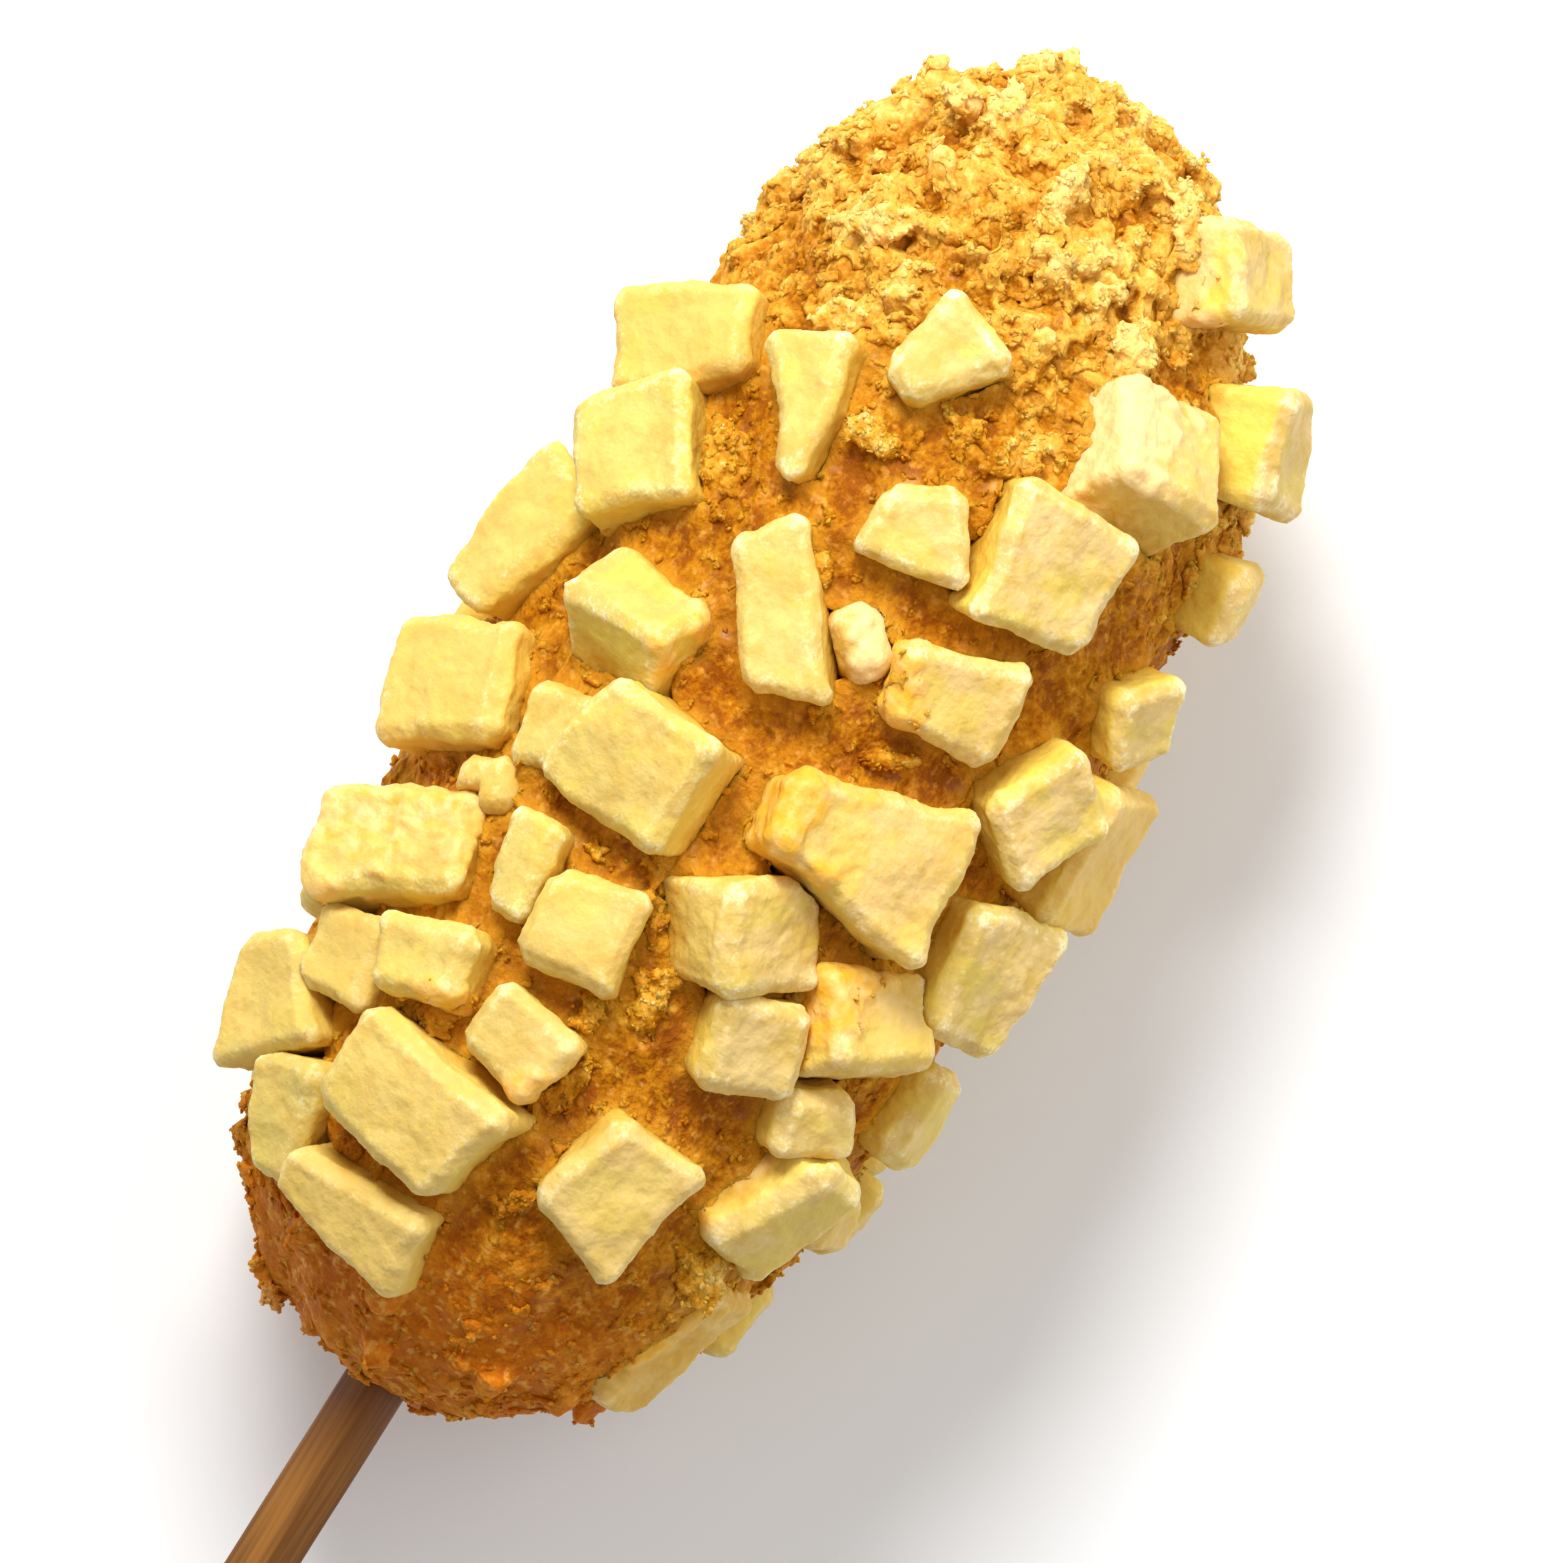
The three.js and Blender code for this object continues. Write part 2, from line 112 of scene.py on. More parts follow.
def spin_skin():
    skin = bmesh.new()
    last = None
    for ring in range(RINGS + 1):
        turn = math.pi * ring / RINGS
        x = (BODY_BACK + BODY_FRONT) / 2 - (BODY_FRONT - BODY_BACK) / 2 * math.cos(turn)
        vert = skin.verts.new((x, 0, body_radius(x)))
        if last:
            skin.edges.new((last, vert))
        last = vert
    bmesh.ops.spin(skin, geom=skin.verts[:] + skin.edges[:], axis=(1, 0, 0), cent=(0, 0, 0),
                   angle=2 * math.pi, steps=SIDES, use_merge=True)
    bmesh.ops.remove_doubles(skin, verts=skin.verts, dist=0.01)
    bmesh.ops.recalc_face_normals(skin, faces=skin.faces)
    for vert in skin.verts:
        x = vert.co.x
        vert.co = body_centre(x) + Vector((0, vert.co.y, vert.co.z))
    return skin


skin = spin_skin()
skin_tree = BVHTree.FromBMesh(skin)


def height_above_skin(point):
    place, normal, _, _ = skin_tree.find_nearest(point)
    return (point - place).dot(normal)


centre_height = height_above_skin(Vector((MIDDLE_X, AXIS_Y, AXIS_Z)))
print(f"skin: {len(skin.faces)} faces, the axis lies {-centre_height:.1f} mm deep")

# %% [markdown]
# ## Working copies
#
# A CAD node stays as it is, so each soft piece starts from a copy. The copy is
# loose triangles until its doubles are merged. A voxel remesh then turns the
# flat facets into an even fabric of small quads, which noise can push about,
# and it fuses whatever overlaps. A Smooth modifier rounds what was faceted.

# %% Copy, fuse, relax
def merged_copy(*node_names):
    joined = bmesh.new()
    for node_name in node_names:
        joined.from_mesh(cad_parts[node_name].data)
    bmesh.ops.remove_doubles(joined, verts=joined.verts, dist=1e-6)
    bmesh.ops.scale(joined, vec=(1 / MM,) * 3, verts=joined.verts)
    return joined


def mesh_from(shape, name):
    mesh = bpy.data.meshes.new(name)
    shape.to_mesh(mesh)
    shape.free()
    return mesh


def with_modifiers(mesh, *modifiers):
    """The mesh after these modifiers, each a (type, settings) pair."""
    holder = bpy.data.objects.new("holder", mesh)
    bpy.context.scene.collection.objects.link(holder)
    for kind, settings in modifiers:
        modifier = holder.modifiers.new(kind, kind)
        for setting, value in settings.items():
            setattr(modifier, setting, value)
    shown = holder.evaluated_get(bpy.context.evaluated_depsgraph_get())
    result = bpy.data.meshes.new_from_object(shown)
    bpy.data.objects.remove(holder)
    return result


def fused(mesh, voxel, rounds):
    return with_modifiers(mesh, ("REMESH", {"mode": "VOXEL", "voxel_size": voxel}),
                          ("SMOOTH", {"factor": 0.5, "iterations": rounds}))


def points_of(mesh):
    flat = np.empty(len(mesh.vertices) * 3)
    mesh.vertices.foreach_get("co", flat)
    return flat.reshape(-1, 3)


def normals_of(mesh):
    flat = np.empty(len(mesh.vertices) * 3, np.float32)
    mesh.vertex_normals.foreach_get("vector", flat)
    return flat.reshape(-1, 3).astype(float)


def put_points(mesh, rows):
    mesh.vertices.foreach_set("co", np.asarray(rows, np.float32).ravel())
    mesh.update()


def put_attribute(mesh, name, values):
    layer = mesh.attributes.get(name) or mesh.attributes.new(name, "FLOAT", "POINT")
    layer.data.foreach_set("value", np.asarray(values, np.float32))


def bulge_of(mesh, rounds=24):
    """How far each point stands out of a much smoother version of its mesh."""
    calm = points_of(with_modifiers(mesh, ("SMOOTH", {"factor": 0.5, "iterations": rounds})))
    return ((points_of(mesh) - calm) * normals_of(mesh)).sum(1)


# %% [markdown]
# ## The potato pieces
#
# Diced potato that has been fried keeps its cut faces, but every edge is worn,
# the faces dry out and sink a little, and the surface is mealy. We could sculpt
# each die, but forty-three of them sit on the visible side. One recipe with its
# own noise offset for each piece gives them all the same nature and no twins.
#
# The recipe: fuse the copy into small quads, let the edges relax, find where it
# bulges (that is the worn rim), sink the calm faces between the rims, and
# grain the lot. Two attributes go along for the shader: the rim, which is paler,
# and the height above the batter, because a die is ambered where it is sunk.

# %% Fry one potato piece
POTATO_VOXEL = 0.42
RIM_AT = 0.42            # a bulge this big, in mm, is fully rim
FACE_SINK = 0.022        # the faces sink by this share of the piece's size
WARP_SIZE, WARP = 7.5, 0.07  # frying bends every cut face, also by a share
MEAL_SIZES = ((3.4, 0.26), (1.6, 0.16), (0.9, 0.12))    # grain size, height, mm


# Batter that lies over a piece: the way it comes from along and across the
# body, how far it reaches (1 = all over), and how pale it fried.
SMEARS = {
    "potato_01": (-0.5, 0.85, -0.1, 0.5), "potato_03": (0.3, 1.0, 0.1, 0.95),
    "potato_22": (0.6, 0.95, 0.0, 0.3), "potato_32": (0.3, 1.0, 0.0, 0.1),
    "potato_39": (0.3, 1.0, -0.4, 0.2), "potato_41": (0.3, 1.0, 0.15, 0.0),
    "potato_43": (0.5, -1.0, 0.2, 1.0), "potato_30": (-0.8, -0.8, -0.5, 0.2),
    "potato_10": (0.3, -1.0, -0.55, 0.1), "potato_28": (-0.9, -0.45, -0.6, 0.1),
    "potato_19": (-0.1, 1.0, -0.25, 0.0), "potato_14": (-0.5, 0.85, -0.55, 0.1),
}


def batter_over(name, points, shift):
    """How much batter covers each point of a piece, 0 to 1."""
    if name not in SMEARS:
        return np.zeros(len(points))
    x, y, reach, _ = SMEARS[name]
    way = np.array((x, y, 0.25)) / math.hypot(x, y, 0.25)
    along = (points - points.mean(0)) @ way
    edge = np.array([noise.fractal(Vector(p) / 3 + shift, 0.8, 2.1, 2) for p in points])
    return np.clip((along / np.abs(along).max() + reach + 0.55 * edge) / 0.3, 0, 1)


def fried_potato(shape, name, offset):
    mesh = fused(mesh_from(shape, name), POTATO_VOXEL, 1)
    mesh.name = name
    rim = np.clip(bulge_of(mesh) / RIM_AT, 0, 1)
    broad = bulge_of(mesh, 90)
    points, normals = points_of(mesh), normals_of(mesh)
    size = min(12, *(points.max(0) - points.min(0)))
    sink = size * FACE_SINK * (1 - np.clip(broad / np.percentile(broad, 92), 0, 1))
    shift = Vector((offset * 3.1, offset * 1.7, -offset * 2.3))
    bend = np.array([noise.noise_vector(Vector(p) / WARP_SIZE + shift) for p in points]) * WARP * size
    meal = np.array([sum(tall * noise.noise(Vector(p) / size + shift) for size, tall in MEAL_SIZES)
                     for p in points])
    points = points + bend + normals * (0.3 - sink + meal)[:, None]
    batter = batter_over(name.removeprefix("fried_"), points, shift)
    points = points + normals * (batter * (0.25 + 0.6 * meal))[:, None]
    put_points(mesh, points)
    put_attribute(mesh, "rim", rim)
    put_attribute(mesh, "batter", batter)
    put_attribute(mesh, "pale", np.full(len(points), SMEARS.get(name[6:], (0, 0, 0, 0.3))[3]))
    # flank is 1 where a point faces across or into the body rather than out of it; the shader paints shade on
    # the side faces with it.
    outward = [skin_tree.find_nearest(Vector(p))[1] for p in points]
    facing = (normals * np.array(outward)).sum(1)
    put_attribute(mesh, "flank", 1 - np.clip(facing, 0, 1))
    put_attribute(mesh, "fry", np.full(len(points), offset * 0.618 % 1))
    put_attribute(mesh, "height", [height_above_skin(Vector(p)) for p in points])
    return mesh


def shown_piece(mesh, name, *materials):
    """A millimetre mesh becomes a finished piece in metres, with its object at the origin."""
    points = points_of(mesh) * MM
    points[:, 2] = np.maximum(points[:, 2], 0)      # nothing sinks into the table
    put_points(mesh, points)
    mesh.polygons.foreach_set("use_smooth", [True] * len(mesh.polygons))
    piece = bpy.data.objects.new(name, mesh)
    bpy.context.scene.collection.objects.link(piece)
    for material in materials:
        mesh.materials.append(material)
    return piece


top_names = sorted(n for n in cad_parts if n.startswith("potato_") and "group" not in n)
group_names = sorted(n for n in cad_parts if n.startswith("potato_group"))
potato_pieces = {}
for number, node_name in enumerate(top_names + group_names):
    mesh = fried_potato(merged_copy(node_name), "fried_" + node_name, number + 1)
    potato_pieces[node_name] = mesh
print(len(potato_pieces), "potato pieces,",
      sum(len(m.polygons) for m in potato_pieces.values()) * 2, "triangles")

# %% [markdown]
# ## The crust
#
# The crust is batter that ran, caught breadcrumbs and fried. At the tip it is
# a thicket of pale crags, between the potato it is a low crumb in amber fat, and
# by the stick it is almost smooth. A texture alone would leave the outline flat,
# so the relief is real: ragged flakes are fused into the copied solid, the
# pockets behind the potato are thinned where nobody sees them, and then noise of
# three sizes pushes the skin out and in.

# %% Ragged flakes that fuse with the crust
CRUMB_SEED = 20


def ragged(seed, subdivisions, rough, wide, thick, curl=0.0):
    """A crumb about 1 mm in radius: a ball that noise has torn, pressed and bent."""
    shape = bmesh.new()
    bmesh.ops.create_icosphere(shape, subdivisions=subdivisions, radius=1)
    shift = Vector((seed * 7.31, seed * 3.17, -seed * 5.03))
    for vert in shape.verts:
        vert.co *= 1 + rough * noise.fractal(vert.co * 1.3 + shift, 0.8, 2.2, 3)
    bmesh.ops.scale(shape, vec=(1, wide, thick), verts=shape.verts)
    for vert in shape.verts:
        vert.co.z += curl * (vert.co.x ** 2 - 0.3)
    return shape


def placing(place, normal, spin, tilt, sizes):
    """The matrix that sets a crumb on the skin: z follows the normal, then spin, tilt and size."""
    outward = normal.to_track_quat("Z", "Y").to_matrix().to_4x4()
    turn = Matrix.Rotation(spin, 4, "Z") @ Matrix.Rotation(tilt, 4, "X")
    size = Matrix.Diagonal((*sizes, 1))
    return Matrix.Translation(place) @ outward @ turn @ size


potato_shapes = bmesh.new()
for node_name in potato_pieces:
    potato_shapes.from_mesh(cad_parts[node_name].data)
bmesh.ops.scale(potato_shapes, vec=(1 / MM,) * 3, verts=potato_shapes.verts)
potato_tree = BVHTree.FromBMesh(potato_shapes)
crust_shape = merged_copy("crust")
crust_tree = BVHTree.FromBMesh(crust_shape)


def landing(x, angle, tree, spread=0.0, dice=random):
    """Where a crumb that falls towards the axis lands: place, normal, and whether on potato."""
    centre = body_centre(min(x, 62) if x > 0 else max(x, -62))
    lean = math.copysign(max(0, abs(x) - 62) / 10, x)
    way = Vector((lean, math.sin(angle), math.cos(angle))).normalized()
    start = centre + way * 60
    way = (way + spread * Vector([dice.uniform(-1, 1) for _ in range(3)])).normalized()
    place, normal, _, far = tree.ray_cast(start, -way, 60)
    on_potato = potato_tree.ray_cast(start, -way, 60)
    return place, normal, bool(place is None or (on_potato[0] and on_potato[3] < far + 0.4))


def tipness(x):
    """0 along the body, 1 on the bare crumbly tip."""
    return smoothstep(x, 30, 50)


FLAKES = ((150, (40, 74), (1.3, 3.4)), (120, (-60, 40), (0.9, 2.2)), (30, (-74, -60), (0.8, 1.8)))
dice = random.Random(CRUMB_SEED)
flake_count = 0
for amount, (low, high), (small, large) in FLAKES:
    for _ in range(amount):
        x, angle = dice.uniform(low, high), dice.uniform(-math.pi, math.pi)
        place, normal, on_potato = landing(x, angle, crust_tree)
        size = dice.uniform(small, large)
        if on_potato:
            continue
        flake = ragged(dice.random() * 90, 2, 0.75, dice.uniform(0.35, 0.8), dice.uniform(0.25, 0.5),
                       dice.uniform(-0.2, 0.3))
        flake.transform(placing(place, normal, dice.uniform(0, 6.3), dice.uniform(-0.7, 0.7), (size,) * 3))
        flake_mesh = mesh_from(flake, "flake")
        crust_shape.from_mesh(flake_mesh)
        bpy.data.meshes.remove(flake_mesh)
        flake_count += 1
print("flakes fused into the crust:", flake_count)

# %% Thin the pocket walls that the potato hides
CRUST_VOXEL = 0.6
WALL_NEAR, RIM_ROUNDS, FLAT_ANGLE = 0.85, 3, 0.35

crust = fused(mesh_from(crust_shape, "crust"), CRUST_VOXEL, 3)


def hidden_walls(mesh):
    """True for each vertex on a pocket wall and well inside its rim."""
    seen = np.array([potato_tree.find_nearest(Vector(p), WALL_NEAR)[0] is None
                     for p in points_of(mesh)])
    ends = np.empty(len(mesh.edges) * 2, np.int32)
    mesh.edges.foreach_get("vertices", ends)
    ends = ends.reshape(-1, 2)
    for _ in range(RIM_ROUNDS):
        reached = ends[seen[ends].any(1)]
        seen[reached.ravel()] = True
    return ~seen


def thinned(mesh, name, hidden):
    """The mesh with its hidden part redrawn in far fewer faces."""
    put_attribute(mesh, "hidden", hidden)
    thin = bmesh.new()
    thin.from_mesh(mesh)
    mark = thin.verts.layers.float["hidden"]
    walls = [v for v in thin.verts if v[mark] > 0.5]
    inner = [e for e in thin.edges if e.verts[0][mark] > 0.5 and e.verts[1][mark] > 0.5]
    bmesh.ops.dissolve_limit(thin, angle_limit=FLAT_ANGLE, use_dissolve_boundaries=False,
                             verts=walls, edges=inner, delimit=set())
    bmesh.ops.triangulate(thin, faces=[f for f in thin.faces if len(f.verts) > 4])
    mesh = mesh_from(thin, name)
    print(f"{name}: {len(walls)} hidden points thinned, which leaves",
          sum(len(p.vertices) - 2 for p in mesh.polygons), "triangles")
    return mesh


crust = thinned(crust, "crust_skin", hidden_walls(crust))

# %% Push the crust out into crumb
CRAG_SIZE, CRAG_TALL, TIP_CRAG_TALL = 6.0, 0.55, 1.70
GRIT_SIZE, GRIT_TALL, TIP_GRIT_TALL = 1.9, 0.45, 0.70
FINE_SIZE, FINE_TALL = 1.2, 0.30
HUG_REACH, HUG_PULL, HUG_RISE, HUG_DIP = 2.8, 1.2, 1.3, 0.5
SMOOTH_END = (-66, -46)          # the crumb fades towards the stick


def warp(point):
    return point + 2.2 * noise.turbulence_vector(point / 8, 2, False)


def crag_at(point):
    """The crags that also sort pale clumps from amber hollows: about -1 to 1."""
    bent = warp(point)
    ridge = noise.ridged_multi_fractal(bent / (CRAG_SIZE * 0.6), 0.9, 2.1, 2, 1.0, 1.6) - 1.1
    clump = noise.fractal(bent / CRAG_SIZE + Vector((3, 1, 7)), 0.8, 2.2, 3)
    return 0.4 * ridge + 1.1 * clump


def crust_relief(point):
    x = point.x - MIDDLE_X
    tip, end = tipness(x), smoothstep(x, *SMOOTH_END)
    first, second = noise.voronoi(warp(point) / GRIT_SIZE)[0][:2]
    grit = 0.55 - first + 0.3 * (second - first)
    fine = noise.fractal(point / FINE_SIZE, 0.7, 2.1, 3)
    rough = 0.5 + 0.5 * end
    return (crag_at(point) * (CRAG_TALL + (TIP_CRAG_TALL - CRAG_TALL) * tip)
            + grit * (GRIT_TALL + (TIP_GRIT_TALL - GRIT_TALL) * tip) + fine * FINE_TALL) * rough


fried_shapes = bmesh.new()
for mesh in potato_pieces.values():
    fried_shapes.from_mesh(mesh)
fried_tree = BVHTree.FromBMesh(fried_shapes)


def hug(point):
    """The batter creeps up and onto a potato piece that is close to it."""
    near, facing, _, far = fried_tree.find_nearest(point, HUG_REACH)
    if near is None:
        return Vector(), 0
    pull = (1 - far / HUG_REACH) ** 1.5
    outward = skin_tree.find_nearest(point)[1]
    climb = 0.75 + 0.9 * noise.noise(point / 3.5)
    dip = facing * (HUG_DIP * pull) if (point - near).dot(facing) > 0 else Vector()
    return (near - point) * pull * HUG_PULL + outward * (HUG_RISE * climb * pull) - dip, pull


points, normals = points_of(crust), normals_of(crust)
hidden = np.array([d.value for d in crust.attributes["hidden"].data]) > 0.5
for index in np.nonzero(~hidden)[0]:
    point = Vector(points[index])
    creep, pull = hug(point)
    points[index] += np.array(creep) + normals[index] * crust_relief(point) * (1 - 0.7 * pull)
put_points(crust, points)
crust = with_modifiers(crust, ("SMOOTH", {"factor": 0.35, "iterations": 1}))
crust.name = "crust_skin"
put_attribute(crust, "height", [height_above_skin(Vector(p)) for p in points_of(crust)])
put_attribute(crust, "crag", [crag_at(Vector(p)) for p in points_of(crust)])
put_attribute(crust, "bulge", bulge_of(crust, 8))


def nearness(point):
    """1 on the potato, 0 from 3 mm away."""
    far = fried_tree.find_nearest(point, 3)[3]
    return 0 if far is None else 1 - far / 3


put_attribute(crust, "near", [nearness(Vector(p)) for p in points_of(crust)])
crags = [d.value for d in crust.attributes["crag"].data]
print("crags, low to high:", [round(float(c), 2) for c in np.percentile(crags, (5, 25, 50, 75, 95))])

# %% [markdown]
# ## Clumps of crumb
#
# What the eye reads as fried crumb is lace: small torn bits that stick together
# in clumps, with gaps of amber fat between the clumps. A push of the crust can't
# undercut, and bits that merely lie side by side look like seeds. So each clump
# is a core with bits all over it, and a fine remesh welds them where they touch.
# The clumps gather on the crags, because that is where the crumb caught.

# %% Build clumps
core_shapes = [mesh_from(ragged(k + 41, 2, 0.9, 0.75, 0.7, 0.1), "core") for k in range(12)]
bit_shapes = [mesh_from(ragged(k + 1, 1, 0.9, 0.85, 0.75), "bit") for k in range(10)]
clump_shapes = core_shapes + bit_shapes
crust_done = bmesh.new()
crust_done.from_mesh(crust)
crust_top = BVHTree.FromBMesh(crust_done)


def bit_at(dice, place, normal, small, large):
    size = dice.uniform(small, large)
    number = len(core_shapes) + dice.randrange(len(bit_shapes))
    return number, placing(place, normal, dice.uniform(0, 6.3), dice.uniform(-1, 1),
                           (size * dice.uniform(1, 1.6), size, size))


def clump(dice, place, normal, spin, sizes, bits):
    """A core and the bits that cling to its upper side, as (shape number, matrix) pairs."""
    core = placing(place + normal * sizes[2] * 0.35, normal, spin, dice.uniform(-0.3, 0.3), sizes)
    places = [(dice.randrange(len(core_shapes)), core)]
    for _ in range(bits):
        way = Vector([dice.gauss(0, 1) for _ in range(3)]).normalized()
        way.z = abs(way.z)
        places.append(bit_at(dice, core @ (way * dice.uniform(0.75, 1.15)), normal, 0.28, 0.6))
    return places


def clumps_over(seed, tries, zone, sizes, flat, bare):
    """Clumps at random, kept more often on the crags than in the hollows below bare."""
    dice, places = random.Random(seed), []
    for _ in range(tries):
        x, angle = dice.uniform(*zone), dice.uniform(-math.pi, math.pi)
        place, normal, on_potato = landing(x, angle, crust_top, 0.2, dice)
        long = sizes[0] + (sizes[1] - sizes[0]) * dice.random() ** 2
        wide, spin, keep = long * dice.uniform(0.4, 0.8), dice.uniform(0, 6.3), dice.random()
        if on_potato or keep > smoothstep(crag_at(place), bare, 0.5):
            continue
        places += clump(dice, place, normal, spin, (long, wide, wide * flat), int(4 + 4 * long * wide))
    return places


def bits_over(seed, tries, zone, sizes, bare):
    dice, places = random.Random(seed), []
    for _ in range(tries):
        x, angle = dice.uniform(*zone), dice.uniform(-math.pi, math.pi)
        place, normal, on_potato = landing(x, angle, crust_top, 0.25, dice)
        keep = dice.random()
        if on_potato or keep > smoothstep(crag_at(place), bare, 0.3):
            continue
        places.append(bit_at(dice, place, normal, *sizes))
    return places


def bits_beside(amount, sizes, seed, reach=1.1):
    """Bits that gather where the batter meets the potato."""
    dice, places, shown = random.Random(seed), [], points_of(crust)
    near = [k for k in np.nonzero(~hidden)[0] if fried_tree.find_nearest(Vector(shown[k]), reach)[0]]
    for k in dice.sample(near, min(amount, len(near))):
        outward = skin_tree.find_nearest(Vector(shown[k]))[1]
        places.append(bit_at(dice, Vector(shown[k]) + outward * 0.1, outward, *sizes))
    return places


def on_batter(amount, sizes, seed, names):
    """Places for crumbs on the potato where batter covers it."""
    dice, places = random.Random(seed), []
    for name in names:
        mesh = potato_pieces[name]
        shown, outward = points_of(mesh), normals_of(mesh)
        cover = [d.value for d in mesh.attributes["batter"].data]
        free = [k for k in range(len(cover)) if cover[k] > 0.6 and outward[k][2] > -0.2]
        for k in dice.sample(free, min(amount, len(free))):
            places.append(bit_at(dice, Vector(shown[k]), Vector(outward[k]), *sizes))
    return places


# %% [markdown]
# A few clumps are so big that anyone would remember where they sit: the pale
# ridges on the tip, the ragged one beside the last dice, the spike by the stick,
# the shreds that hang between two dice. They are placed one by one, from a table.

# %% The clumps to remember
# x and y on the body, half length, half width, half thickness, spin in degrees
KNOWN_CLUMPS = (
    (-44.7, -20.0, 4.4, 3.0, 1.0, 60), (-37.8, 13.1, 2.2, 1.5, 1.1, 10),
    (-49.4, -2.0, 1.9, 1.1, 0.7, 30), (-25.6, -3.0, 3.4, 1.6, 0.9, 70),
    (-30.1, 1.6, 2.2, 1.3, 0.8, 20), (-37.2, -0.6, 3.0, 1.2, 0.8, 75),
    (58.9, 4.5, 4.6, 1.2, 1.2, -58), (54.1, 1.0, 2.8, 1.2, 1.0, 25),
    (30.6, 7.8, 2.7, 1.5, 1.0, 20), (39.3, 15.5, 3.2, 1.7, 1.2, -30),
    (21.0, 17.7, 3.8, 2.5, 1.3, 80), (5.6, 11.4, 2.8, 1.4, 1.1, 25),
    (38.8, -10.8, 3.5, 2.0, 1.2, 60), (-70.6, 14.6, 3.4, 0.9, 0.7, 158),
    (62.0, 12.5, 4.2, 2.0, 1.3, 40), (63.5, -7.0, 3.8, 1.8, 1.2, -40),
    (49.0, 17.0, 3.6, 1.7, 1.2, 70), (50.5, -9.0, 3.2, 1.6, 1.1, 10),
    (-15.4, 2.9, 3.6, 0.5, 0.5, 32), (-19.5, 0.6, 2.8, 0.45, 0.5, 44),
    (-14.6, 4.6, 2.4, 0.4, 0.4, 12), (-24.2, -1.4, 2.6, 0.5, 0.5, 28),
    (5.4, -9.5, 3.0, 0.8, 0.7, -60), (17.4, 4.9, 2.2, 1.0, 0.8, 50),
)


def known_clumps(seed, low, high):
    dice, places = random.Random(seed), []
    for x, y, long, wide, thick, spin in KNOWN_CLUMPS:
        if not low <= x < high:
            continue
        above = Vector((MIDDLE_X + x, AXIS_Y + y, 90))
        place, normal, _, _ = crust_top.ray_cast(above, Vector((0, 0, -1)))
        if place is None:
            place, normal, _, _ = crust_top.find_nearest(Vector((above.x, above.y, AXIS_Z)))
        lie = (normal + 1.2 * Vector((0, 0, 1))).normalized()
        spin_matrix = Matrix.Rotation(math.radians(spin), 4, "Z")
        turned = lie.to_track_quat("Z", "Y").to_matrix().to_4x4() @ spin_matrix
        core = Matrix.Translation(place + lie * thick * 0.5) @ turned @ Matrix.Diagonal((long, wide, thick, 1))
        places.append((dice.randrange(len(core_shapes)), core))
        for _ in range(int(6 + 6 * long * wide)):
            way = Vector([dice.gauss(0, 1) for _ in range(3)]).normalized()
            way.z = abs(way.z)
            places.append(bit_at(dice, core @ (way * dice.uniform(0.8, 1.15)), lie, 0.25, 0.6))
    return places


# %% Weld the clumps into coats
COAT_GRAIN, COAT_GRAIN_TALL = 0.95, 0.26
COAT_DEPTH = 0.35        # what lies this deep in the crust is never seen


def joined(shapes, places, name):
    whole = bmesh.new()
    for number, matrix in places:
        copy = shapes[number].copy()
        copy.transform(matrix)
        whole.from_mesh(copy)
        bpy.data.meshes.remove(copy)
    return mesh_from(whole, name)


def proud_of(tree, point):
    place, normal, _, _ = tree.find_nearest(point)
    return (point - place).dot(normal)


def mark_crumb(mesh):
    """What the shader wants to know of every point of crumb."""
    put_attribute(mesh, "height", [height_above_skin(Vector(p)) for p in points_of(mesh)])
    put_attribute(mesh, "crag", [crag_at(Vector(p)) for p in points_of(mesh)])
    put_attribute(mesh, "proud", [max(0, min(1.6, proud_of(crust_top, Vector(p)))) for p in points_of(mesh)])
    put_attribute(mesh, "near", [nearness(Vector(p)) for p in points_of(mesh)])


def coat(name, voxel, places):
    mesh = fused(joined(clump_shapes, places, name), voxel, 1)
    deep = np.array([proud_of(crust_top, Vector(p)) < -COAT_DEPTH for p in points_of(mesh)])
    mesh = thinned(mesh, name, deep)
    points = points_of(mesh)
    fine = np.array([noise.fractal(Vector(p) / COAT_GRAIN, 0.8, 2.1, 2) for p in points])
    put_points(mesh, points + normals_of(mesh) * (fine * COAT_GRAIN_TALL)[:, None])
    put_attribute(mesh, "bulge", bulge_of(mesh, 6))
    mark_crumb(mesh)
    return mesh


tip_coat = coat("tip_coat", 0.37, clumps_over(31, 820, (36, 76), (0.6, 1.7), 0.7, -0.9)
                + bits_over(32, 5200, (32, 76), (0.32, 0.8), -1.6) + known_clumps(33, 36, 80))
body_coat = coat("body_coat", 0.38, clumps_over(34, 480, (-58, 37), (0.6, 1.6), 0.5, -0.5)
                 + bits_over(35, 4600, (-58, 36), (0.3, 0.6), -0.8) + bits_beside(2200, (0.3, 0.6), 38)
                 + clumps_over(36, 90, (-74, -56), (0.6, 1.5), 0.35, -0.8)
                 + bits_over(39, 1600, (-76, -54), (0.3, 0.6), -1.2) + known_clumps(37, -80, 36)
                 + on_batter(40, (0.25, 0.5), 44, ("potato_01", "potato_32", "potato_28", "potato_14")))
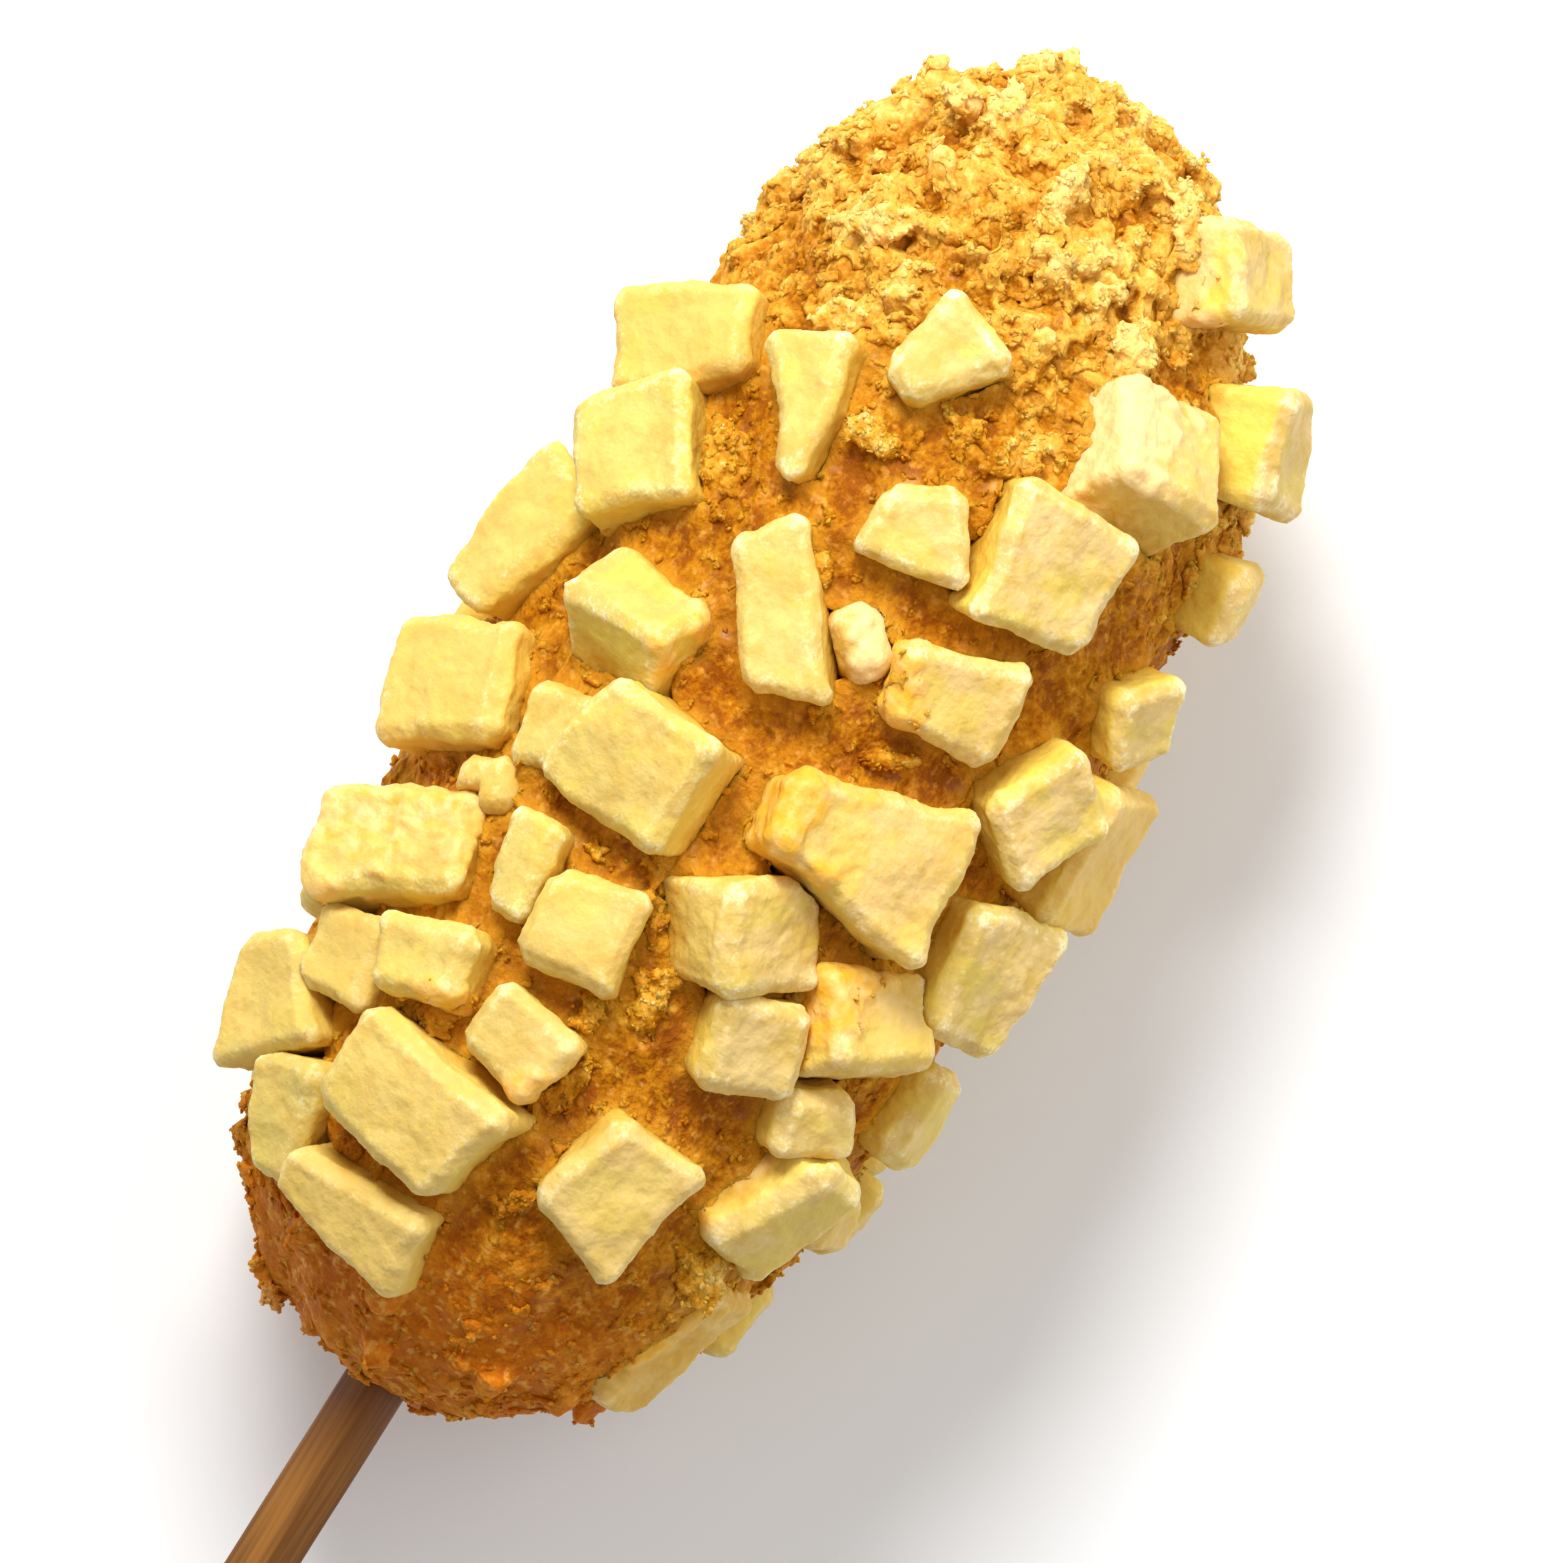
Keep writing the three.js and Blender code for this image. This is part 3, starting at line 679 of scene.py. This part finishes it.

# %% [markdown]
# ## Loose crumbs
#
# Last come single crumbs, too small to weld: a dusting over the clumps and the
# dice that batter ran over. Each kind is its own piece, a handful of shapes
# copied at true size to where they land, and joined. A given seed makes every
# run land them in the same places. Each bit keeps its own tone.

# %% Strew crumbs
def strewn(name, places):
    """Joins a copy of a bit at each place; places are (shape number, matrix)."""
    dice, whole, tones = random.Random(len(places)), bmesh.new(), []
    for number, matrix in places:
        copy = clump_shapes[number].copy()
        copy.transform(matrix)
        whole.from_mesh(copy)
        tones += [dice.random() - 0.5] * len(copy.vertices)
        bpy.data.meshes.remove(copy)
    mesh = mesh_from(whole, name)
    put_attribute(mesh, "tone", tones)
    mark_crumb(mesh)
    print(f"{name}: {len(places)} bits, {len(mesh.polygons)} faces")
    return mesh


def dusting(mesh, amount, sizes, seed):
    """Places for tiny crumbs on the proud parts of a coat."""
    dice, shown, outward = random.Random(seed), points_of(mesh), normals_of(mesh)
    proud = np.array([d.value for d in mesh.attributes["proud"].data])
    free = list(np.nonzero(proud > 0.15)[0])
    return [bit_at(dice, Vector(shown[k]), Vector(outward[k]), *sizes)
            for k in dice.sample(free, min(amount, len(free)))]


tip_crumbs = strewn("tip_crumbs", dusting(tip_coat, 4600, (0.14, 0.34), 41))
body_crumbs = strewn("body_crumbs", dusting(body_coat, 4600, (0.14, 0.32), 42))

# %% [markdown]
# ## The stick
#
# A square bamboo skewer, turned with one edge up. The solid's shape is right, so
# the piece is the merged copy with its long edges eased by a bevel and a little
# waver of the wood, cut finely enough for the waver to show.

# %% Shape the stick
STICK_EASE, STICK_CUTS, WAVER = 0.25, 60, 0.06

stick_shape = merged_copy("stick")
bmesh.ops.dissolve_limit(stick_shape, angle_limit=0.02, verts=stick_shape.verts,
                         edges=stick_shape.edges, use_dissolve_boundaries=False, delimit=set())
sharp = [e for e in stick_shape.edges if e.calc_face_angle(0) > 0.3]
bmesh.ops.bevel(stick_shape, geom=sharp, offset=STICK_EASE, segments=2, profile=0.5,
                affect="EDGES", material=-1, clamp_overlap=True)
lengthwise = [e for e in stick_shape.edges if abs((e.verts[0].co - e.verts[1].co).x) > 50]
bmesh.ops.subdivide_edges(stick_shape, edges=lengthwise, cuts=STICK_CUTS, use_grid_fill=True)
for vert in stick_shape.verts:
    sway = noise.noise_vector(Vector((vert.co.x / 23, 0, 4.2))) * WAVER * 2
    grain = noise.noise_vector(Vector((vert.co.x / 9, vert.co.y, vert.co.z))) * WAVER
    vert.co += Vector((0, sway.y + grain.y, sway.z + grain.z))
print("stick:", len(stick_shape.faces), "faces")
stick_mesh = mesh_from(stick_shape, "skewer")

# %% [markdown]
# ## Shader sums
#
# Node trees are easier to read as sums. A small class wraps a node's output,
# and each operator on it adds a Math node. Colours and vectors go through Mix,
# because a Math node would turn a colour grey.

# %% A socket that can be added and multiplied
class Value:
    def __init__(self, tree, output=None):
        self.tree, self.output = tree, output

    def node(self, kind, settings=None, inputs=None, output=0):
        made = self.tree.nodes.new("ShaderNode" + kind)
        for name, value in (settings or {}).items():
            if name == "stops":
                ramp = made.color_ramp.elements
                while len(ramp) < len(value):
                    ramp.new(1)
                for stop, (place, colour) in zip(ramp, value):
                    stop.position, stop.color = place, colour
            else:
                setattr(made, name, value)
        for name, value in (inputs or {}).items():
            if isinstance(value, Value):
                self.tree.links.new(value.output, made.inputs[name])
            else:
                made.inputs[name].default_value = value
        return Value(self.tree, made.outputs[output] if len(made.outputs) else None)

    def math(self, operation, *values, clamp=False):
        return self.node("Math", {"operation": operation, "use_clamp": clamp},
                         dict(enumerate(values)))

    def __add__(self, other):
        return self.math("ADD", self, other)

    def __sub__(self, other):
        return self.math("SUBTRACT", self, other)

    def __rsub__(self, other):
        return self.math("SUBTRACT", other, self)

    def __mul__(self, other):
        return self.math("MULTIPLY", self, other)

    __radd__, __rmul__ = __add__, __mul__

    def between(self, low, high):
        """0 below low, 1 above high, and smooth on the way."""
        return self.node("MapRange", {"interpolation_type": "SMOOTHSTEP"},
                         {"Value": self, "From Min": low, "From Max": high})

    def mix(self, first, second):
        """This value fades from the first colour to the second."""
        return self.node("Mix", {"data_type": "RGBA"}, {0: self, 6: first, 7: second}, 2)


def colour(red, green, blue):
    """A colour given as the eye sees it, 0 to 255, made linear."""
    def linear(c):
        c /= 255
        return c / 12.92 if c <= 0.04045 else ((c + 0.055) / 1.055) ** 2.4
    return (linear(red), linear(green), linear(blue), 1)


def new_material(name):
    material = bpy.data.materials.new(name)
    material.use_nodes = True
    material.node_tree.nodes.clear()
    return material, Value(material.node_tree)


def finish_with(start, shader_inputs):
    skin_shader = start.node("BsdfPrincipled", {}, shader_inputs)
    start.node("OutputMaterial", {}, {"Surface": skin_shader})


def grain(start, size, detail=2, stretch=(1, 1, 1), shift=0.0):
    """Noise on Object coordinates whose features are about size mm across."""
    place = start.node("TexCoord", {}, {}, "Object")
    moved = start.node("Mapping", {}, {"Vector": place, "Scale": [s / (size * MM) for s in stretch],
                                       "Location": (shift, shift, shift)})
    return start.node("TexNoise", {}, {"Vector": moved, "Scale": 1, "Detail": detail})


def attribute(start, name):
    return start.node("Attribute", {"attribute_name": name}, {}, "Fac")


# %% [markdown]
# ## Fried crumb
#
# Fried crumb is pale and dry where it stands out, golden on its flanks and deep
# amber where fat pools between. So the height above the batter picks the colour,
# noise breaks its edges, and the tip is lighter than the end by the stick. That
# colour by height is partly painted light: a painted highlight on what stands out
# and painted shade in the hollows. Light goes a few millimetres into it, which is
# what makes the hollows glow.

# %% The crust and its crumbs
DEEP, AMBER = colour(152, 82, 2), colour(186, 118, 4)
GOLD, PALE = colour(219, 160, 46), colour(250, 213, 132)
CREAM, BROWN, FLECK = colour(244, 194, 96), colour(200, 96, 0), colour(226, 166, 70)
OILED = colour(206, 143, 30)      # batter that thins out against the potato


def crumb_material(name, reach):
    """Crumb that light enters by the reach, in mm: less in small bits than in the body."""
    material, start = new_material(name)
    place = start.node("TexCoord", {}, {}, "Object")
    x = start.node("SeparateXYZ", {}, {0: place}, "X")
    tip = x.between((MIDDLE_X + 26) * MM, (MIDDLE_X + 50) * MM)
    end = 1 - x.between((MIDDLE_X - 64) * MM, (MIDDLE_X - 44) * MM)
    blotch, speck = grain(start, 6, 2), grain(start, 1.0, 2, shift=5)
    # Painted highlight and painted shade: the height, bulge and proud terms push what stands out towards PALE
    # and the hollows towards DEEP. This is partly the crumb's own colour and partly painted light.
    level = attribute(start, "height") * 0.07 + 0.20 + tip * 0.30 + end * 0.12
    level = level + attribute(start, "crag") * (tip * 0.12 + 0.08)
    level = level + (blotch - 0.5) * 0.7 + (speck - 0.5) * 0.8
    level = level + (grain(start, 2.4, 1, shift=14) - 0.5) * 0.6
    level = level + attribute(start, "bulge") * 0.4 + attribute(start, "tone") * 0.3
    level = level + attribute(start, "proud") * 0.14 + (grain(start, 0.45, 1, shift=11) - 0.5) * 0.55
    low = level.between(0.0, 0.36).mix(DEEP, AMBER)
    mid = level.between(0.3, 0.7).mix(low, GOLD)
    paint = level.between(0.62, 1.1).mix(mid, PALE)
    near = attribute(start, "near").between(0.35, 1.0)
    paint = (near * 0.7).mix(paint, OILED)
    paint = (end * 0.55).mix(paint, BROWN)
    paint = (tip * level.between(0.2, 0.7) * 0.3).mix(paint, CREAM)
    fleck = (grain(start, 1.1, 2, shift=12) + end * 0.03).between(0.56, 0.74) * (end * 0.2 + 0.5)
    paint = fleck.mix(paint, FLECK)
    rough = 0.52 + blotch * 0.3
    wet = (1 - level).between(0.35, 0.8) * grain(start, 4, 1, shift=2).between(0.52, 0.66)
    relief = grain(start, 0.8, 3, shift=9)
    bump = start.node("Bump", {}, {"Height": relief, "Strength": 0.8, "Distance": 0.0007})
    finish_with(start, {"Base Color": paint, "Roughness": rough, "Normal": bump, "IOR": 1.46,
                        "Coat Weight": wet * 0.12, "Coat Roughness": 0.2,
                        "Subsurface Weight": 0.5, "Subsurface Radius": (1.0, 0.55, 0.22),
                        "Subsurface Scale": reach * MM, "Specular IOR Level": 0.12})
    return material


crust_look, crumb_look = crumb_material("fried_batter", 2.0), crumb_material("fried_crumb", 1.1)

# %% [markdown]
# ## Fried potato
#
# Boiled then fried, potato is a matt pale yellow. Its worn rims are nearly
# white, partly from the wear and partly as a painted highlight where the edges
# catch the light; its faces are a touch deeper, and where a die is sunk in the
# batter the fat has ambered it. The rim and height attributes carry that.
# Painted shade comes on top: olive on the side faces, a greener tint on the
# dice towards +y and a darker tone towards the stick.

# %% The potato
# GREEN is painted shade: the greener tone of shaded potato, given to the dice on one side of the body.
WARM, GREEN = colour(227, 196, 130), colour(212, 191, 102)
# RIM is the worn rim's own paler colour and also a painted highlight on the edges.
RIM, CLOUD = colour(253, 243, 200), colour(212, 178, 90)
SOAKED, FILM = colour(206, 152, 38), colour(246, 212, 146)
STICKWARD_SHADE = colour(213, 184, 104)      # painted shade: the potato grows darker towards the stick
LEMON = colour(222, 200, 76)       # here the die is so wet that it looks glassy
# OLIVE is painted shade: the tone of shaded potato, given to the side faces.
OLIVE, FRIED, GILT = colour(234, 204, 78), colour(232, 185, 88), colour(236, 176, 44)


def potato_material(name):
    material, start = new_material(name)
    rim, height = attribute(start, "rim"), attribute(start, "height")
    cloud, meal = grain(start, 3.6, 3), grain(start, 0.8, 2, shift=3)
    place = start.node("TexCoord", {}, {}, "Object")
    # Painted shade: the dice towards +y fade from WARM to the greener GREEN.
    side = start.node("SeparateXYZ", {}, {0: place}, "Y").between(-0.015, 0.025)
    paint = (cloud + (meal - 0.5) * 0.35).between(0.3, 0.62).mix(CLOUD, side.mix(WARM, GREEN))
    paint = (grain(start, 5, 1, shift=15).between(0.5, 0.64) * 0.42).mix(paint, LEMON)
    dust = grain(start, 0.3, 1, shift=17)
    # Painted highlight: the rims grow pale partly from wear, partly as light caught on the edges.
    worn_and_lit_rim = rim + (meal - 0.5) + (cloud - 0.5) * 0.8 + (dust - 0.5) * 0.8
    paint = worn_and_lit_rim.between(0.2, 1.0).mix(paint, RIM)
    # Painted shade: the side faces that turn away from the outside of the body go olive.
    flank = attribute(start, "flank") + (cloud - 0.5) * 0.8 - rim * 0.5
    paint = (flank.between(0.12, 0.8) * 0.8).mix(paint, OLIVE)
    paint = (attribute(start, "fry") * attribute(start, "fry") * 0.5).mix(paint, FRIED)
    x = start.node("SeparateXYZ", {}, {0: place}, "X")
    # Painted shade: the dice are darker towards the stick end of the body.
    stickward_shade = 1 - x.between((MIDDLE_X - 60) * MM, (MIDDLE_X + 15) * MM)
    paint = (stickward_shade * 0.42).mix(paint, STICKWARD_SHADE)
    soak = 1 - (height + (cloud - 0.5) * 5 + (meal - 0.5) * 2).between(-1.2, 3.9)
    paint = (soak * 0.95).mix(paint, SOAKED)
    batter, crumb = attribute(start, "batter"), grain(start, 1.6, 2, shift=6)
    fried = (crumb * 0.9 + attribute(start, "pale") * 0.6).between(0.3, 1.0).mix(GILT, FILM)
    paint = (batter * 0.92).mix(paint, fried)
    relief = grain(start, 0.8, 2, shift=8) * 0.8 + batter * crumb
    bump = start.node("Bump", {}, {"Height": relief, "Strength": 0.5, "Distance": 0.0005})
    rough = 0.5 + cloud * 0.2 - batter * 0.22
    finish_with(start, {"Base Color": paint, "Roughness": rough, "Normal": bump,
                        "IOR": 1.42, "Subsurface Weight": 0.4, "Specular IOR Level": 0.25,
                        "Subsurface Radius": (1.0, 0.70, 0.25), "Subsurface Scale": 0.0026})
    return material


potato_look = potato_material("fried_potato")

# %% [markdown]
# ## Wood
#
# Bamboo shows fine long fibres. Noise squeezed along the stick draws them, and
# the last few millimetres before the batter are dark with fat.

# %% The wood
def wood_material():
    material, start = new_material("bamboo")
    fibre = grain(start, 0.5, 4, stretch=(0.03, 1, 1))
    band = grain(start, 2.2, 2, stretch=(0.06, 1, 1), shift=4)
    paint = (fibre * 0.7 + band * 0.5).between(0.35, 0.85).mix(colour(100, 58, 12),
                                                               colour(150, 98, 36))
    x = start.node("SeparateXYZ", {}, {0: start.node("TexCoord", {}, {}, "Object")}, "X")
    fat = (x + (band - 0.5) * 0.012).between((MIDDLE_X - 84) * MM, (MIDDLE_X - 72) * MM)
    paint = (fat * 0.6).mix(paint, colour(112, 62, 20))
    bump = start.node("Bump", {}, {"Height": fibre, "Strength": 0.5, "Distance": 0.0002})
    finish_with(start, {"Base Color": paint, "Roughness": 0.6 - fat * 0.2, "Normal": bump,
                        "Specular IOR Level": 0.25})
    return material


wood_look = wood_material()

# %% [markdown]
# ## Put the pieces on the frame
#
# Each mesh becomes an object at the origin, in metres. It rides on the one body
# there is, and the solid it stands for is hidden.

# %% Finish the pieces
def add_piece(mesh, name, material, slot, *replaced):
    piece = shown_piece(mesh, name, material)
    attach(piece, "root")
    if replaced:
        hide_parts(*replaced)
    return piece


add_piece(crust, "crust_skin", crust_look, "crust", "crust")
for name, mesh in (("tip_coat", tip_coat), ("body_coat", body_coat),
                   ("tip_crumbs", tip_crumbs), ("body_crumbs", body_crumbs)):
    add_piece(mesh, name, crumb_look, "crust")
for node_name, mesh in potato_pieces.items():
    add_piece(mesh, "fried_" + node_name, potato_look, "potato", node_name)
add_piece(stick_mesh, "skewer", wood_look, "wood", "stick")

# %% [markdown]
# ## Table, light and camera
#
# The snack lies on a plain pale table under soft studio light and the camera
# looks straight down on it from far off, so that near and far pieces keep their
# sizes. The camera is turned so that the tip points up and to the right.

# %% Set the stage
TABLE_SIZE = 3.0
VIEW_WIDTH, CAMERA_HEIGHT, SENSOR = 0.150, 2.5, 36.0
VIEW_AT = Vector((MIDDLE_X - 1.7, AXIS_Y - 2.4, AXIS_Z)) * MM
CAMERA_TURN = math.atan2(-0.848, 0.53)
PICTURE_RIGHT, PICTURE_UP = Vector((0.53, -0.848, 0)), Vector((0.848, 0.53, 0))

table_shape = bmesh.new()
bmesh.ops.create_grid(table_shape, x_segments=1, y_segments=1, size=TABLE_SIZE / 2)
table = bpy.data.objects.new("table", mesh_from(table_shape, "table"))
bpy.context.scene.collection.objects.link(table)
table_finish, start = new_material("pale_table")
finish_with(start, {"Base Color": (0.9 + 0.04 * (grain(start, 60, 2) - 0.5)).mix(
    (0, 0, 0, 1), (1, 1, 1, 1)), "Roughness": 0.8})
table.data.materials.append(table_finish)

camera_data = bpy.data.cameras.new("camera")
camera_data.sensor_width = SENSOR
camera_data.lens = SENSOR * CAMERA_HEIGHT / VIEW_WIDTH
camera_data.clip_end = 20
camera = bpy.data.objects.new("camera", camera_data)
camera.location = VIEW_AT + Vector((0, 0, CAMERA_HEIGHT))
camera.rotation_euler = (0, 0, CAMERA_TURN)
bpy.context.scene.collection.objects.link(camera)
bpy.context.scene.camera = camera


def soft_light(name, toward, distance, size, watts, tint=(1, 1, 1)):
    light_data = bpy.data.lights.new(name, "AREA")
    light_data.shape, light_data.size, light_data.energy = "DISK", size, watts
    light_data.color = tint
    light = bpy.data.objects.new(name, light_data)
    light.location = VIEW_AT + toward.normalized() * distance
    light.rotation_euler = (-toward).to_track_quat("-Z", "Y").to_euler()
    bpy.context.scene.collection.objects.link(light)


UP = Vector((0, 0, 1))
soft_light("key", PICTURE_UP * 0.9 - PICTURE_RIGHT * 0.1 + UP * 1.0, 0.65, 0.25, 5.1)
soft_light("fill", PICTURE_RIGHT * 0.9 + PICTURE_UP * 0.2 + UP * 1.0, 1.1, 0.9, 4)
world = bpy.data.worlds.new("studio")
world.use_nodes = True
world.node_tree.nodes["Background"].inputs["Color"].default_value = (1, 1, 1, 1)
world.node_tree.nodes["Background"].inputs["Strength"].default_value = 0.46
bpy.context.scene.world = world
bpy.context.scene.view_settings.view_transform = "Standard"
